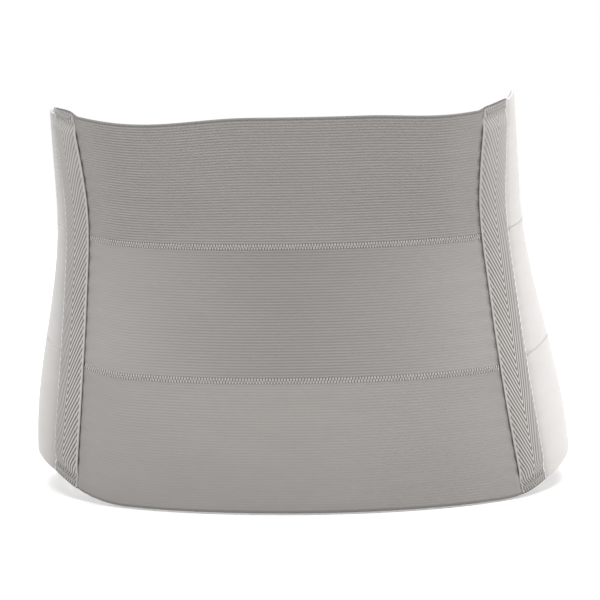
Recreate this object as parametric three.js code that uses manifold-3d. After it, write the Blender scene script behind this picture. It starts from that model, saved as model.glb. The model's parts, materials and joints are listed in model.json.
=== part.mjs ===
// Lumbar support belt, closed as it is when worn. Three elastic bands stacked edge to edge run round the
// back and sides. A flexible stay sits in a sewn casing at each end of the back panel, and two front
// panels overlap and close with hook and loop.
//
// Millimetres, +Z up. The back panel faces -Y and the closure is at +Y. The origin is the middle of the
// footprint: the belt stands on its bottom edge at Z = 0.
//
// A place on the belt is given by its girth, height and lift. Girth is the distance walked round the
// body from the middle of the back, positive towards +X. Lift is the distance out from the body.
import * as THREE from 'three';
import Module from 'manifold-3d';
import { mergeVertices } from 'three/addons/utils/BufferGeometryUtils.js';

const { lerp, smoothstep } = THREE.MathUtils;

const wasm = await Module();
wasm.setup();

// ---- driving dimensions: the body outline that the belt is shaped to ----

const WAIST_HALF_WIDTH = 144;
const HIP_HALF_WIDTH = 166.5;
const WAIST_BACK_DEPTH = 93;
const HIP_BACK_DEPTH = 121;
const WAIST_FRONT_DEPTH = 104;
const HIP_FRONT_DEPTH = 115;
const HIP_HEIGHT = 15; // the hips are fullest from here down
const WAIST_HEIGHT = 182; // and the waist is level from here up
const LEAN = 10.8; // the wearer's weight is on one leg: the top of the belt lies this far towards -X
const BACK_SQUARENESS = 2.05; // superellipse exponents: 2 is an ellipse, more is flatter
const FRONT_SQUARENESS = 2.1;

// ---- driving dimensions: bands ----

const BAND_HEIGHT = 80;
const BAND_COUNT = 3;
const BELT_HEIGHT = BAND_HEIGHT * BAND_COUNT;
const MIDDLE = BELT_HEIGHT / 2;
const BAND_THICKNESS = 1.8;
const BAND_LEVELS = ['lower', 'middle', 'upper'];

// ---- driving dimensions: top and bottom edges, whose girths are those at the belt's middle height ----

const BACK_DIP = { left: 5.8, middle: 1.1, right: 3.1 }; // the top edge sags beside each casing
const BACK_DIP_GIRTH = { left: 85, right: 103 };
const BACK_DIP_REACH = { left: 74, right: 50 };
const CASING_START = 133; // the two edges of a casing
const CASING_END = 159;
const CASING_RISE = 4; // across a casing the top edge climbs this much,
const FLANK_RISE = { left: -6, right: 2 }; // and this much more from there to the flank
const FLANK = 190;
const FRONT_DROP = 28; // the top edge tapers down this much to the front seams
const FRONT_DROP_START = 185;
const FRONT_SEAM = 297;
const SIDE_RISE = { left: 22, right: 18 }; // the bottom edge arches up this much over each hip,
const SIDE_RISE_START = { left: 96, right: 120 }; // from here to the front seam

// ---- driving dimensions: stays and their casings ----

const TAPE_WIDTH = 25;
const TAPE_THICKNESS = 1;
const TAPE_ARCH = 3.2; // how far the tape stands up over the stay
const TAPE_FLAT_END = 6; // the tape is sewn flat this far in from each end
const TAPE_ARCH_START = 16;
const LINING_WIDTH = 24;
const LINING_THICKNESS = 0.9;
const LINING_INSET = 3; // short of the belt's top and bottom edges
const STAY_WIDTH = 10;
const STAY_THICKNESS = 1.2;
const STAY_END = 34; // from the belt's edge to the end of the stay
const CAP_WALL = 0.4;
const CAP_GRIP = 9; // how far a cap reaches over the stay
const CAP_TIP = 2.5; // and past its end
const BAR_TACK_WIDTH = 21;
const BAR_TACK_HEIGHT = 2.4;
const BAR_TACK_INSET = 3;
const THREAD_THICKNESS = 0.6;
const SEAM_HEIGHT = 3.5;

// ---- driving dimensions: front panels and closure ----

const FRONT_SEAM_X = 105; // where a side meets its front panel
const PANEL_THICKNESS = 2;
const PAD_THICKNESS = 1;
const HOOK_THICKNESS = 0.8;
const JOIN_TAPE_WIDTH = 16;
const LEFT_PANEL_END = 8; // each panel ends this far short of the middle of the front,
const RIGHT_PANEL_END = -30; // or past it when negative
const TAB_LENGTH = 58;
const TAB_CORNER = 20;
const TAB_NARROWING = 9; // at the top and at the bottom, from root to tip
const CLOSURE_TOP = 192;
const CLOSURE_BOTTOM = 22;
const OVERLAP_LIFT_START = 92; // the right panel starts to rise over the left one here
const OVERLAP_LIFT_END = 12;
const BINDING_WRAP = 7; // how far a binding reaches in over the edge it covers
const BINDING_THICKNESS = 0.7;

// ---- driving dimensions: clearances ----

const GAP = 0.3; // between pieces that are sewn or rest together
const SWING_GAP = 0.5; // where one body swings against the next
const CLOSURE_GAP = 0.6; // between hook and loop

// ---- the stack of layers, as lifts ----

const BAND_INNER = LINING_THICKNESS + GAP;
const BAND_OUTER = BAND_INNER + BAND_THICKNESS;
const CAP_INNER = LINING_THICKNESS + GAP;
const STAY_INNER = CAP_INNER + CAP_WALL + GAP;
const STAY_OUTER = STAY_INNER + STAY_THICKNESS;
const CAP_OUTER = STAY_OUTER + GAP + CAP_WALL;
const PAD_INNER = BAND_INNER + PANEL_THICKNESS + GAP;
const HOOK_INNER = PAD_INNER + PAD_THICKNESS + CLOSURE_GAP;
const TAB_INNER = HOOK_INNER + HOOK_THICKNESS + GAP;
const TAB_OUTER = TAB_INNER + PANEL_THICKNESS;

// ---- body outline ----

const OUTLINE_STEPS = 240;
const outlines = new Map();

const hipShare = (z) => 1 - smoothstep(z, HIP_HEIGHT, WAIST_HEIGHT);
const halfWidth = (z) => lerp(WAIST_HALF_WIDTH, HIP_HALF_WIDTH, hipShare(z));
const backDepth = (z) => lerp(WAIST_BACK_DEPTH, HIP_BACK_DEPTH, hipShare(z));
const frontDepth = (z) => lerp(WAIST_FRONT_DEPTH, HIP_FRONT_DEPTH, hipShare(z));

// The right half of the outline at height z, from the middle of the back to the middle of the front:
// its points, and the distance walked to each of them.
function outline(z) {
  const key = Math.round(z * 100);
  if (outlines.has(key)) return outlines.get(key);
  const points = [];
  const walked = [];
  for (let step = 0; step <= OUTLINE_STEPS; step++) {
    const angle = Math.PI * (step / OUTLINE_STEPS - 0.5);
    const front = angle > 0;
    const power = 2 / (front ? FRONT_SQUARENESS : BACK_SQUARENESS);
    const depth = front ? frontDepth(z) : backDepth(z);
    const x = halfWidth(z) * Math.max(Math.cos(angle), 0) ** power;
    const y = Math.sign(angle) * depth * Math.abs(Math.sin(angle)) ** power;
    const point = new THREE.Vector2(x, y);
    walked.push(step === 0 ? 0 : walked[step - 1] + point.distanceTo(points[step - 1]));
    points.push(point);
  }
  const result = { points, walked };
  outlines.set(key, result);
  return result;
}

const halfGirth = (z) => outline(z).walked[OUTLINE_STEPS];

// Girth of the place where the outline reaches x, on the back or on the front.
function girthAtX(z, x, front) {
  const { points, walked } = outline(z);
  const middle = OUTLINE_STEPS / 2;
  let step = front ? middle + 1 : 1;
  while (front ? points[step].x > x : points[step].x < x) step++;
  const share = (x - points[step - 1].x) / (points[step].x - points[step - 1].x);
  return lerp(walked[step - 1], walked[step], share);
}

// Outward direction of the outline at a point of it.
function outward(z, point) {
  const front = point.y > 0;
  const squareness = front ? FRONT_SQUARENESS : BACK_SQUARENESS;
  const depth = front ? frontDepth(z) : backDepth(z);
  const slope = (value, size) => (Math.sign(value) * (Math.abs(value) / size) ** (squareness - 1)) / size;
  return new THREE.Vector2(slope(point.x, halfWidth(z)), slope(point.y, depth)).normalize();
}

// The point at a girth, height and lift. Girths run on past the middle of the front.
function skin(girth, z, lift) {
  const { points, walked } = outline(z);
  const half = halfGirth(z);
  const overFront = Math.abs(girth) > half;
  const distance = overFront ? 2 * half - Math.abs(girth) : Math.abs(girth);
  const side = (girth < 0 ? -1 : 1) * (overFront ? -1 : 1);
  let low = 0;
  let high = OUTLINE_STEPS;
  while (high - low > 1) {
    const middle = Math.floor((low + high) / 2);
    if (walked[middle] > distance) high = middle;
    else low = middle;
  }
  const share = (distance - walked[low]) / (walked[high] - walked[low]);
  const point = points[low].clone().lerp(points[high], share);
  point.addScaledVector(outward(z, point), lift);
  return new THREE.Vector3(side * point.x - LEAN * (z / BELT_HEIGHT), point.y, z);
}

// ---- edges of the belt ----

// Half width of the back panel, across to the inner edge of the casing tape.
const backPanelEdge = new THREE.SplineCurve([
  new THREE.Vector2(0, 137),
  new THREE.Vector2(60, 129.3),
  new THREE.Vector2(120, 123.2),
  new THREE.Vector2(180, 119.4),
  new THREE.Vector2(240, 126),
]);
const backPanelEdgePoints = backPanelEdge.getPoints(60);

function backPanelHalfWidth(z) {
  const last = backPanelEdgePoints.length - 1;
  let next = 1;
  while (next < last && backPanelEdgePoints[next].x < z) next++;
  const [from, to] = [backPanelEdgePoints[next - 1], backPanelEdgePoints[next]];
  return lerp(from.y, to.y, (z - from.x) / (to.x - from.x));
}

const tapeInnerGirth = (z) => girthAtX(z, backPanelHalfWidth(z), false) + GAP;
const tapeOuterGirth = (z) => tapeInnerGirth(z) + TAPE_WIDTH;
const sideStartGirth = (z) => tapeOuterGirth(z) + SWING_GAP;
const frontSeamGirth = (z) => girthAtX(z, FRONT_SEAM_X, true);
const sideEndGirth = (z) => frontSeamGirth(z) - SWING_GAP / 2;

const sideOf = (girth) => (girth < 0 ? 'left' : 'right');

function bottomEdge(girth) {
  const start = SIDE_RISE_START[sideOf(girth)];
  const share = THREE.MathUtils.clamp((Math.abs(girth) - start) / (FRONT_SEAM - start), 0, 1);
  return SIDE_RISE[sideOf(girth)] * Math.sin(share * Math.PI) ** 2;
}

function taperedTop(girth) {
  return BELT_HEIGHT - FRONT_DROP * smoothstep(Math.abs(girth), FRONT_DROP_START, FRONT_SEAM);
}

// How far the top edge sags below the top of the casings, between them.
function backDip(girth) {
  const side = sideOf(girth);
  const away = Math.min(Math.abs(Math.abs(girth) - BACK_DIP_GIRTH[side]) / BACK_DIP_REACH[side], 1);
  const beside = Math.cos((away * Math.PI) / 2) ** 2;
  const dip = lerp(BACK_DIP.middle, BACK_DIP[side], beside);
  return dip * (1 - smoothstep(Math.abs(girth), CASING_START - 4, CASING_START + 4));
}

function topEdge(girth) {
  const away = Math.abs(girth);
  const casing = CASING_RISE * smoothstep(away, CASING_START, CASING_END);
  const flank = FLANK_RISE[sideOf(girth)] * smoothstep(away, CASING_END, FLANK);
  const fade = 1 - smoothstep(away, FLANK, FRONT_SEAM);
  return taperedTop(girth) + (casing + flank) * fade - backDip(girth);
}

// Height of the line between two bands: level 0 is the bottom edge and BAND_COUNT the top edge.
function bandLine(girth, level) {
  if (level === BAND_COUNT) return topEdge(girth);
  return lerp(bottomEdge(girth), taperedTop(girth), level / BAND_COUNT);
}

// ---- sheets ----

// A closed sheet on the body. place(u, v) gives the girth and height for u along the girth and v up,
// and inner(u, v) and outer(u, v) give the lifts of its two faces.
function sheet({ place, inner, outer, columns, rows }) {
  const positions = [];
  const index = [];
  for (const lift of [outer, inner]) {
    for (let row = 0; row <= rows; row++) {
      for (let column = 0; column <= columns; column++) {
        const u = column / columns;
        const v = row / rows;
        const { girth, z } = place(u, v);
        positions.push(...skin(girth, z, lift(u, v)).toArray());
      }
    }
  }
  const out = (column, row) => row * (columns + 1) + column;
  const back = (column, row) => out(column, row) + (rows + 1) * (columns + 1);
  const quad = (a, b, c, d) => index.push(a, b, c, a, c, d);
  for (let row = 0; row < rows; row++) {
    for (let column = 0; column < columns; column++) {
      quad(out(column, row), out(column + 1, row), out(column + 1, row + 1), out(column, row + 1));
      quad(back(column, row + 1), back(column + 1, row + 1), back(column + 1, row), back(column, row));
    }
    quad(out(0, row), out(0, row + 1), back(0, row + 1), back(0, row));
    quad(out(columns, row + 1), out(columns, row), back(columns, row), back(columns, row + 1));
  }
  for (let column = 0; column < columns; column++) {
    quad(out(column + 1, 0), out(column, 0), back(column, 0), back(column + 1, 0));
    quad(out(column, rows), out(column + 1, rows), back(column + 1, rows), back(column, rows));
  }
  const geometry = new THREE.BufferGeometry();
  geometry.setAttribute('position', new THREE.Float32BufferAttribute(positions, 3));
  geometry.setIndex(index);
  return geometry;
}

// A sheet of even thickness between two edges given as girths of z and two given as heights of girth.
function strip({ left, right, bottom, top, inner, outer, columns, rows }) {
  const place = (u, v) => {
    const about = lerp(left(MIDDLE), right(MIDDLE), u);
    const z = lerp(bottom(about), top(about), v);
    return { girth: lerp(left(z), right(z), u), z };
  };
  return sheet({ place, inner: () => inner, outer: () => outer, columns, rows });
}

// The same strip on the right (side 1) or mirrored to the left (side -1). near and far are girths of z.
function sideStrip(side, near, far, options) {
  const left = side > 0 ? near : (z) => -far(z);
  const right = side > 0 ? far : (z) => -near(z);
  return strip({ left, right, ...options });
}

// ---- cuts ----

function toSolid(geometry) {
  const merged = mergeVertices(geometry);
  const vertProperties = new Float32Array(merged.attributes.position.array);
  const triVerts = new Uint32Array(merged.index.array);
  return new wasm.Manifold(new wasm.Mesh({ numProp: 3, vertProperties, triVerts }));
}

function cut(geometry, ...tools) {
  let solid = toSolid(geometry);
  for (const tool of tools) solid = solid.subtract(toSolid(tool));
  const { vertProperties, triVerts } = solid.getMesh();
  const result = new THREE.BufferGeometry();
  result.setAttribute('position', new THREE.Float32BufferAttribute(vertProperties, 3));
  result.setIndex(new THREE.BufferAttribute(triVerts, 1));
  return result;
}

// ---- materials ----

const rgb = (red, green, blue) => new THREE.Color(red / 255, green / 255, blue / 255);
const finish = (color, roughness, metalness = 0) =>
  new THREE.MeshStandardMaterial({ color, roughness, metalness });

const elasticMaterial = finish(rgb(156, 152, 149), 0.9);
const sideElasticMaterial = finish(rgb(196, 193, 190), 0.9);
const threadMaterial = finish(rgb(206, 203, 199), 0.7);
const tapeMaterial = finish(rgb(178, 174, 171), 0.9);
const liningMaterial = finish(rgb(150, 147, 145), 0.9);
const velourMaterial = finish(rgb(188, 185, 182), 1);
const loopMaterial = finish(rgb(140, 138, 137), 1);
const hookMaterial = finish(rgb(120, 119, 120), 0.6);
const stayMaterial = finish(rgb(190, 192, 196), 0.35, 1);
const capMaterial = finish(rgb(60, 62, 66), 0.7);

const belt = new THREE.Group();

function addPiece(parent, name, geometry, material) {
  const mesh = new THREE.Mesh(geometry, material);
  mesh.name = name;
  parent.add(mesh);
}

// ---- back panel ----

const betweenBands = GAP / 2;

function bandEdges(level) {
  const bottom = (girth) => bandLine(girth, level) + (level > 0 ? betweenBands : 0);
  const top = (girth) => bandLine(girth, level + 1) - (level + 1 < BAND_COUNT ? betweenBands : 0);
  return { bottom, top };
}

function seamEdges(level) {
  const bottom = (girth) => bandLine(girth, level) - SEAM_HEIGHT / 2;
  const top = (girth) => bandLine(girth, level) + SEAM_HEIGHT / 2;
  return { bottom, top };
}

const bandLifts = { inner: BAND_INNER, outer: BAND_OUTER };
const seamLifts = { inner: BAND_OUTER + GAP, outer: BAND_OUTER + GAP + THREAD_THICKNESS };

function buildBackPanel() {
  const panel = new THREE.Group();
  const edge = (z) => girthAtX(z, backPanelHalfWidth(z), false);
  BAND_LEVELS.forEach((name, level) => {
    const left = (z) => -edge(z);
    const geometry = strip({ left, right: edge, ...bandEdges(level), ...bandLifts, columns: 22, rows: 4 });
    addPiece(panel, `back_${name}_band`, geometry, elasticMaterial);
  });
  const seamEnd = (z) => edge(z) - 1;
  const seamStart = (z) => -seamEnd(z);
  [['lower', 1], ['upper', 2]].forEach(([name, level]) => {
    const edges = { left: seamStart, right: seamEnd, ...seamEdges(level) };
    const geometry = strip({ ...edges, ...seamLifts, columns: 22, rows: 1 });
    addPiece(panel, `back_${name}_seam`, geometry, threadMaterial);
  });
  return panel;
}

// ---- casings and stays ----

// Share of the full arch at height z: the tape is sewn flat at both ends.
function archShare(z) {
  const fromEnd = Math.min(z, BELT_HEIGHT - z);
  return smoothstep(fromEnd, TAPE_FLAT_END, TAPE_ARCH_START);
}

// Rows of the tape lie closer together at its ends, where the arch starts.
const crowdEnds = (v) => v - (0.75 * Math.sin(2 * Math.PI * v)) / (2 * Math.PI);

function casingTape(side) {
  const place = (u, v) => {
    const along = side > 0 ? u : 1 - u;
    const about = side * lerp(tapeInnerGirth(MIDDLE), tapeOuterGirth(MIDDLE), along);
    const z = lerp(bottomEdge(about), topEdge(about), crowdEnds(v));
    return { girth: side * lerp(tapeInnerGirth(z), tapeOuterGirth(z), along), z };
  };
  const inner = (u, v) => {
    const across = Math.abs(2 * u - 1);
    return BAND_INNER + TAPE_ARCH * (1 - across ** 4) * archShare(crowdEnds(v) * BELT_HEIGHT);
  };
  const outer = (u, v) => inner(u, v) + TAPE_THICKNESS;
  return sheet({ place, inner, outer, columns: 8, rows: 18 });
}

const stayLineGirth = (z) => tapeInnerGirth(z) + TAPE_WIDTH / 2;

// A strip centred on the stay's line.
function casingStrip(side, width, options) {
  const near = (z) => stayLineGirth(z) - width / 2;
  const far = (z) => stayLineGirth(z) + width / 2;
  return sideStrip(side, near, far, options);
}

// A cap over the stay's end at height tip. towards is 1 at the top end and -1 at the bottom end.
function stayCap(side, tip, towards) {
  const span = (start, end) => ({ bottom: () => Math.min(start, end), top: () => Math.max(start, end) });
  const mouth = tip - towards * CAP_GRIP;
  const shell = casingStrip(side, STAY_WIDTH + 2 * (GAP + CAP_WALL), {
    ...span(mouth, tip + towards * CAP_TIP),
    inner: CAP_INNER,
    outer: CAP_OUTER,
    columns: 2,
    rows: 2,
  });
  const bore = casingStrip(side, STAY_WIDTH + 2 * GAP, {
    ...span(mouth - towards * CAP_GRIP, tip + towards * GAP),
    inner: STAY_INNER - GAP,
    outer: STAY_OUTER + GAP,
    columns: 2,
    rows: 4,
  });
  return cut(shell, bore);
}

function barTack(side, bottom) {
  const inner = BAND_INNER + TAPE_THICKNESS + GAP;
  const outer = inner + THREAD_THICKNESS;
  const top = (girth) => bottom(girth) + BAR_TACK_HEIGHT;
  return casingStrip(side, BAR_TACK_WIDTH, { bottom, top, inner, outer, columns: 6, rows: 1 });
}

function buildCasing(side, name) {
  const casing = new THREE.Group();
  const stayBottom = STAY_END;
  const stayTop = BELT_HEIGHT - STAY_END;
  addPiece(casing, `${name}_casing_tape`, casingTape(side), tapeMaterial);

  const lining = casingStrip(side, LINING_WIDTH, {
    bottom: (girth) => bottomEdge(girth) + LINING_INSET,
    top: (girth) => topEdge(girth) - LINING_INSET,
    inner: 0,
    outer: LINING_THICKNESS,
    columns: 2,
    rows: 10,
  });
  addPiece(casing, `${name}_casing_lining`, lining, liningMaterial);

  const stay = casingStrip(side, STAY_WIDTH, {
    bottom: () => stayBottom,
    top: () => stayTop,
    inner: STAY_INNER,
    outer: STAY_OUTER,
    columns: 2,
    rows: 10,
  });
  addPiece(casing, `${name}_stay`, stay, stayMaterial);
  addPiece(casing, `${name}_stay_top_cap`, stayCap(side, stayTop, 1), capMaterial);
  addPiece(casing, `${name}_stay_bottom_cap`, stayCap(side, stayBottom, -1), capMaterial);

  const topTack = barTack(side, (girth) => topEdge(girth) - BAR_TACK_INSET - BAR_TACK_HEIGHT);
  addPiece(casing, `${name}_top_bar_tack`, topTack, threadMaterial);
  const bottomTack = barTack(side, (girth) => bottomEdge(girth) + BAR_TACK_INSET);
  addPiece(casing, `${name}_bottom_bar_tack`, bottomTack, threadMaterial);
  return casing;
}

// ---- sides ----

function buildSide(side, name) {
  const group = new THREE.Group();
  BAND_LEVELS.forEach((levelName, level) => {
    const options = { ...bandEdges(level), ...bandLifts, columns: 16, rows: 3 };
    const geometry = sideStrip(side, sideStartGirth, sideEndGirth, options);
    addPiece(group, `${name}_side_${levelName}_band`, geometry, sideElasticMaterial);
  });
  const seamNear = (z) => sideStartGirth(z) + 1;
  const seamFar = (z) => sideEndGirth(z) - 2;
  [['lower', 1], ['upper', 2]].forEach(([levelName, level]) => {
    const options = { ...seamEdges(level), ...seamLifts, columns: 16, rows: 1 };
    const geometry = sideStrip(side, seamNear, seamFar, options);
    addPiece(group, `${name}_side_${levelName}_seam`, geometry, threadMaterial);
  });
  return group;
}

// ---- front panels ----

// Distance from a side's front seam to a place on its panel, along the front.
const frontSeamReach = (z) => halfGirth(z) - frontSeamGirth(z) - SWING_GAP / 2;

const PANEL_TAPER_SHARE = 0.75; // each panel narrows to the closure's height over this share of it

// Heights of a front panel's edges, for along running from 0 at its seam to 1 at its end.
function panelTop(along) {
  return lerp(topEdge(FRONT_SEAM), CLOSURE_TOP, smoothstep(along, 0, PANEL_TAPER_SHARE));
}

function panelBottom(along) {
  const start = 1 - PANEL_TAPER_SHARE;
  return lerp(0, CLOSURE_BOTTOM, smoothstep(along, start, 1));
}

// The place function of a front panel, or of the part of it between near and far, which are shares of
// its length from its seam. inset is kept clear along its top and bottom edges.
function panelPlace(side, end, { near = 0, far = 1, inset = 0 } = {}) {
  return (u, v) => {
    const along = lerp(near, far, side > 0 ? u : 1 - u);
    const z = lerp(panelBottom(along) + inset, panelTop(along) - inset, v);
    const fromMiddle = lerp(frontSeamReach(z), end, along);
    return { girth: halfGirth(z) - side * fromMiddle, z };
  };
}

const leftPanelPlace = (options) => panelPlace(-1, LEFT_PANEL_END, options);
const rightPanelPlace = (options) => panelPlace(1, RIGHT_PANEL_END, options);
const seamReach = frontSeamReach((CLOSURE_TOP + CLOSURE_BOTTOM) / 2);
const leftPanelLength = seamReach - LEFT_PANEL_END;
const rightPanelLength = seamReach - RIGHT_PANEL_END;

// Lift of the right panel's inner face: it rises over the left panel.
function rightPanelLift(along) {
  const fromMiddle = lerp(seamReach, RIGHT_PANEL_END, along);
  const rise = 1 - smoothstep(fromMiddle, OVERLAP_LIFT_END, OVERLAP_LIFT_START);
  return lerp(BAND_INNER, TAB_INNER, rise);
}

function joinTape(side, place, lift) {
  const inner = (u) => lift(u) + PANEL_THICKNESS + GAP;
  const outer = (u) => inner(u) + TAPE_THICKNESS;
  return sheet({ place, inner, outer, columns: 2, rows: 8 });
}

function buildLeftFront() {
  const group = new THREE.Group();
  const panelLift = BAND_INNER;
  const panel = sheet({
    place: leftPanelPlace(),
    inner: () => panelLift,
    outer: () => panelLift + PANEL_THICKNESS,
    columns: 8,
    rows: 10,
  });
  addPiece(group, 'left_front_panel', panel, velourMaterial);

  const tapeShare = JOIN_TAPE_WIDTH / leftPanelLength;
  const tapePlace = leftPanelPlace({ near: 0.01, far: tapeShare, inset: 1 });
  addPiece(group, 'left_join_tape', joinTape(-1, tapePlace, () => panelLift), tapeMaterial);

  const bindingShare = (BINDING_WRAP + 2) / leftPanelLength;
  const pad = sheet({
    place: leftPanelPlace({ near: tapeShare + 0.02, far: 1 - bindingShare - 0.01, inset: 8 }),
    inner: () => PAD_INNER,
    outer: () => PAD_INNER + PAD_THICKNESS,
    columns: 8,
    rows: 10,
  });
  addPiece(group, 'left_loop_pad', pad, loopMaterial);

  const edgeShare = (GAP + BINDING_THICKNESS) / leftPanelLength;
  const gapShare = GAP / leftPanelLength;
  const shell = sheet({
    place: leftPanelPlace({ near: 1 - bindingShare, far: 1 + edgeShare, inset: 1 }),
    inner: () => panelLift - GAP - BINDING_THICKNESS,
    outer: () => panelLift + PANEL_THICKNESS + GAP + BINDING_THICKNESS,
    columns: 2,
    rows: 10,
  });
  const slot = sheet({
    place: leftPanelPlace({ near: 1 - 2 * bindingShare, far: 1 + gapShare, inset: -1 }),
    inner: () => panelLift - GAP,
    outer: () => panelLift + PANEL_THICKNESS + GAP,
    columns: 2,
    rows: 10,
  });
  addPiece(group, 'left_end_binding', cut(shell, slot), tapeMaterial);
  return group;
}

function buildRightFront() {
  const group = new THREE.Group();
  const panel = sheet({
    place: rightPanelPlace(),
    inner: (u) => rightPanelLift(u),
    outer: (u) => rightPanelLift(u) + PANEL_THICKNESS,
    columns: 12,
    rows: 10,
  });
  addPiece(group, 'right_front_panel', panel, velourMaterial);

  const tapeShare = JOIN_TAPE_WIDTH / rightPanelLength;
  const near = 0.01;
  const tapePlace = rightPanelPlace({ near, far: tapeShare, inset: 1 });
  const lift = (u) => rightPanelLift(lerp(near, tapeShare, u));
  addPiece(group, 'right_join_tape', joinTape(1, tapePlace, lift), tapeMaterial);
  return group;
}

// ---- closure tab ----

// Outline of the tab grown by a margin at its tip, top and bottom. It starts a distance from its root.
function tabPlace(start, margin) {
  const cornerShare = 0.3;
  return (u, v) => {
    const towardsEdge = Math.abs(2 * v - 1);
    const round = Math.max(0, (towardsEdge - 1 + cornerShare) / cornerShare);
    const tip = TAB_LENGTH + margin - TAB_CORNER * (1 - Math.sqrt(Math.max(0, 1 - round * round)));
    const along = lerp(start, tip, u);
    const narrow = TAB_NARROWING * (along / TAB_LENGTH);
    const z = lerp(CLOSURE_BOTTOM + narrow - margin, CLOSURE_TOP - narrow + margin, v);
    return { girth: halfGirth(z) - RIGHT_PANEL_END + SWING_GAP + along, z };
  };
}

function tabSheet(start, margin, inner, outer) {
  const place = tabPlace(start, margin);
  return sheet({ place, inner: () => inner, outer: () => outer, columns: 6, rows: 14 });
}

function buildClosureTab() {
  const group = new THREE.Group();
  addPiece(group, 'closure_tab_base', tabSheet(0, -BINDING_THICKNESS, TAB_INNER, TAB_OUTER), velourMaterial);
  const hooks = tabSheet(BINDING_WRAP, -BINDING_WRAP - 2, HOOK_INNER, HOOK_INNER + HOOK_THICKNESS);
  addPiece(group, 'closure_hook_pad', hooks, hookMaterial);

  const reach = GAP + BINDING_THICKNESS;
  const shell = tabSheet(4, GAP, TAB_INNER - reach, TAB_OUTER + reach);
  const slot = tabSheet(2, GAP - BINDING_THICKNESS, TAB_INNER - GAP, TAB_OUTER + GAP);
  const window = tabSheet(2, -BINDING_WRAP, TAB_INNER - 2 * reach, TAB_OUTER + 2 * reach);
  addPiece(group, 'closure_binding', cut(shell, slot, window), tapeMaterial);
  return group;
}

belt.add(buildBackPanel());
belt.add(buildCasing(1, 'right'));
belt.add(buildCasing(-1, 'left'));
belt.add(buildSide(1, 'right'));
belt.add(buildSide(-1, 'left'));
belt.add(buildLeftFront());
belt.add(buildRightFront());
belt.add(buildClosureTab());

export default belt;
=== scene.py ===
"""Looks of the lumbar support belt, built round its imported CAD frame.

Belt space is (girth, height, lift) in millimetres. Girth is the distance walked round the body from the
middle of the back, positive towards +X; height is Z; lift is the distance out from the body. Every fabric
piece is made flat in belt space, where a thread or a rib is easy to place, and then wrapped onto the body.
"""

import json
import math

import bpy
import numpy as np
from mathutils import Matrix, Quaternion, Vector

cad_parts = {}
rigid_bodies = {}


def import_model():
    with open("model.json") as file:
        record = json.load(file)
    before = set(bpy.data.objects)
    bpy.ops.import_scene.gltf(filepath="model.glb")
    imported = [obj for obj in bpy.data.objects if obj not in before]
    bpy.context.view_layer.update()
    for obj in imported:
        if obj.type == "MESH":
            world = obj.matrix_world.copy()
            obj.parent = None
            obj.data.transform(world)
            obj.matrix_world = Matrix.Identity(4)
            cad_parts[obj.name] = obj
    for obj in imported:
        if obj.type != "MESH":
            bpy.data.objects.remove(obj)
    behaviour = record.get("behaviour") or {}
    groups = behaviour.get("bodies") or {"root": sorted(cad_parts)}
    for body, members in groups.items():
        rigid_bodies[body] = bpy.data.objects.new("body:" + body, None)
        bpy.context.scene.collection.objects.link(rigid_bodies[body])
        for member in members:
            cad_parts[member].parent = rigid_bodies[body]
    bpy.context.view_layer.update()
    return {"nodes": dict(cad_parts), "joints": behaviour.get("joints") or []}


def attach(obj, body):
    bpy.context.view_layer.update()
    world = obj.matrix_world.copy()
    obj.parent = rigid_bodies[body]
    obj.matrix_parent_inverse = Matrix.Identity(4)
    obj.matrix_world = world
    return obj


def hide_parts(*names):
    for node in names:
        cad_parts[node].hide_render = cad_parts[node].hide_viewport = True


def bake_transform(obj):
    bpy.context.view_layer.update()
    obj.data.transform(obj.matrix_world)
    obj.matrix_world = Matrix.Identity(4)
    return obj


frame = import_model()

MM = 0.001
TAU = 2 * math.pi

# ---- the body that the belt is shaped to, as in the CAD source ----

WAIST_HALF_WIDTH, HIP_HALF_WIDTH = 144.0, 166.5
WAIST_BACK_DEPTH, HIP_BACK_DEPTH = 93.0, 121.0
WAIST_FRONT_DEPTH, HIP_FRONT_DEPTH = 104.0, 115.0
HIP_HEIGHT, WAIST_HEIGHT = 15.0, 182.0
LEAN = 10.8
BACK_SQUARENESS, FRONT_SQUARENESS = 2.05, 2.1

# ---- the belt, as in the CAD source ----

BAND_HEIGHT = 80.0
BELT_HEIGHT = 3 * BAND_HEIGHT
MIDDLE = BELT_HEIGHT / 2
LEVELS = ("lower", "middle", "upper")
BAND_THICKNESS = 1.8
PANEL_EDGE_HEIGHTS = np.array([0.0, 60.0, 120.0, 180.0, 240.0])
PANEL_EDGE_WIDTHS = np.array([137.0, 129.3, 123.2, 119.4, 126.0])
BACK_DIP = {"left": 5.8, "middle": 1.1, "right": 3.1}
BACK_DIP_GIRTH, BACK_DIP_REACH = {"left": 85.0, "right": 103.0}, {"left": 74.0, "right": 50.0}
CASING_START, CASING_END, CASING_RISE = 133.0, 159.0, 4.0
FLANK_RISE, FLANK = {"left": -6.0, "right": 2.0}, 190.0
FRONT_DROP, FRONT_DROP_START, FRONT_SEAM = 28.0, 185.0, 297.0
SIDE_RISE = {"left": 22.0, "right": 18.0}
SIDE_RISE_START = {"left": 96.0, "right": 120.0}
TAPE_WIDTH, TAPE_THICKNESS = 25.0, 1.0
TAPE_FLAT_END, TAPE_ARCH_START = 6.0, 16.0
LINING_WIDTH, LINING_THICKNESS, LINING_INSET = 24.0, 0.9, 3.0
BAR_TACK_WIDTH, BAR_TACK_HEIGHT, BAR_TACK_INSET = 21.0, 2.4, 3.0
SEAM_HEIGHT = 3.5
FRONT_SEAM_X = 105.0
PANEL_THICKNESS, PAD_THICKNESS, HOOK_THICKNESS = 2.0, 1.0, 0.8
JOIN_TAPE_WIDTH = 16.0
LEFT_PANEL_END, RIGHT_PANEL_END = 8.0, -30.0
TAB_LENGTH, TAB_CORNER, TAB_NARROWING = 58.0, 20.0, 9.0
CLOSURE_TOP, CLOSURE_BOTTOM = 192.0, 22.0
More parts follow.
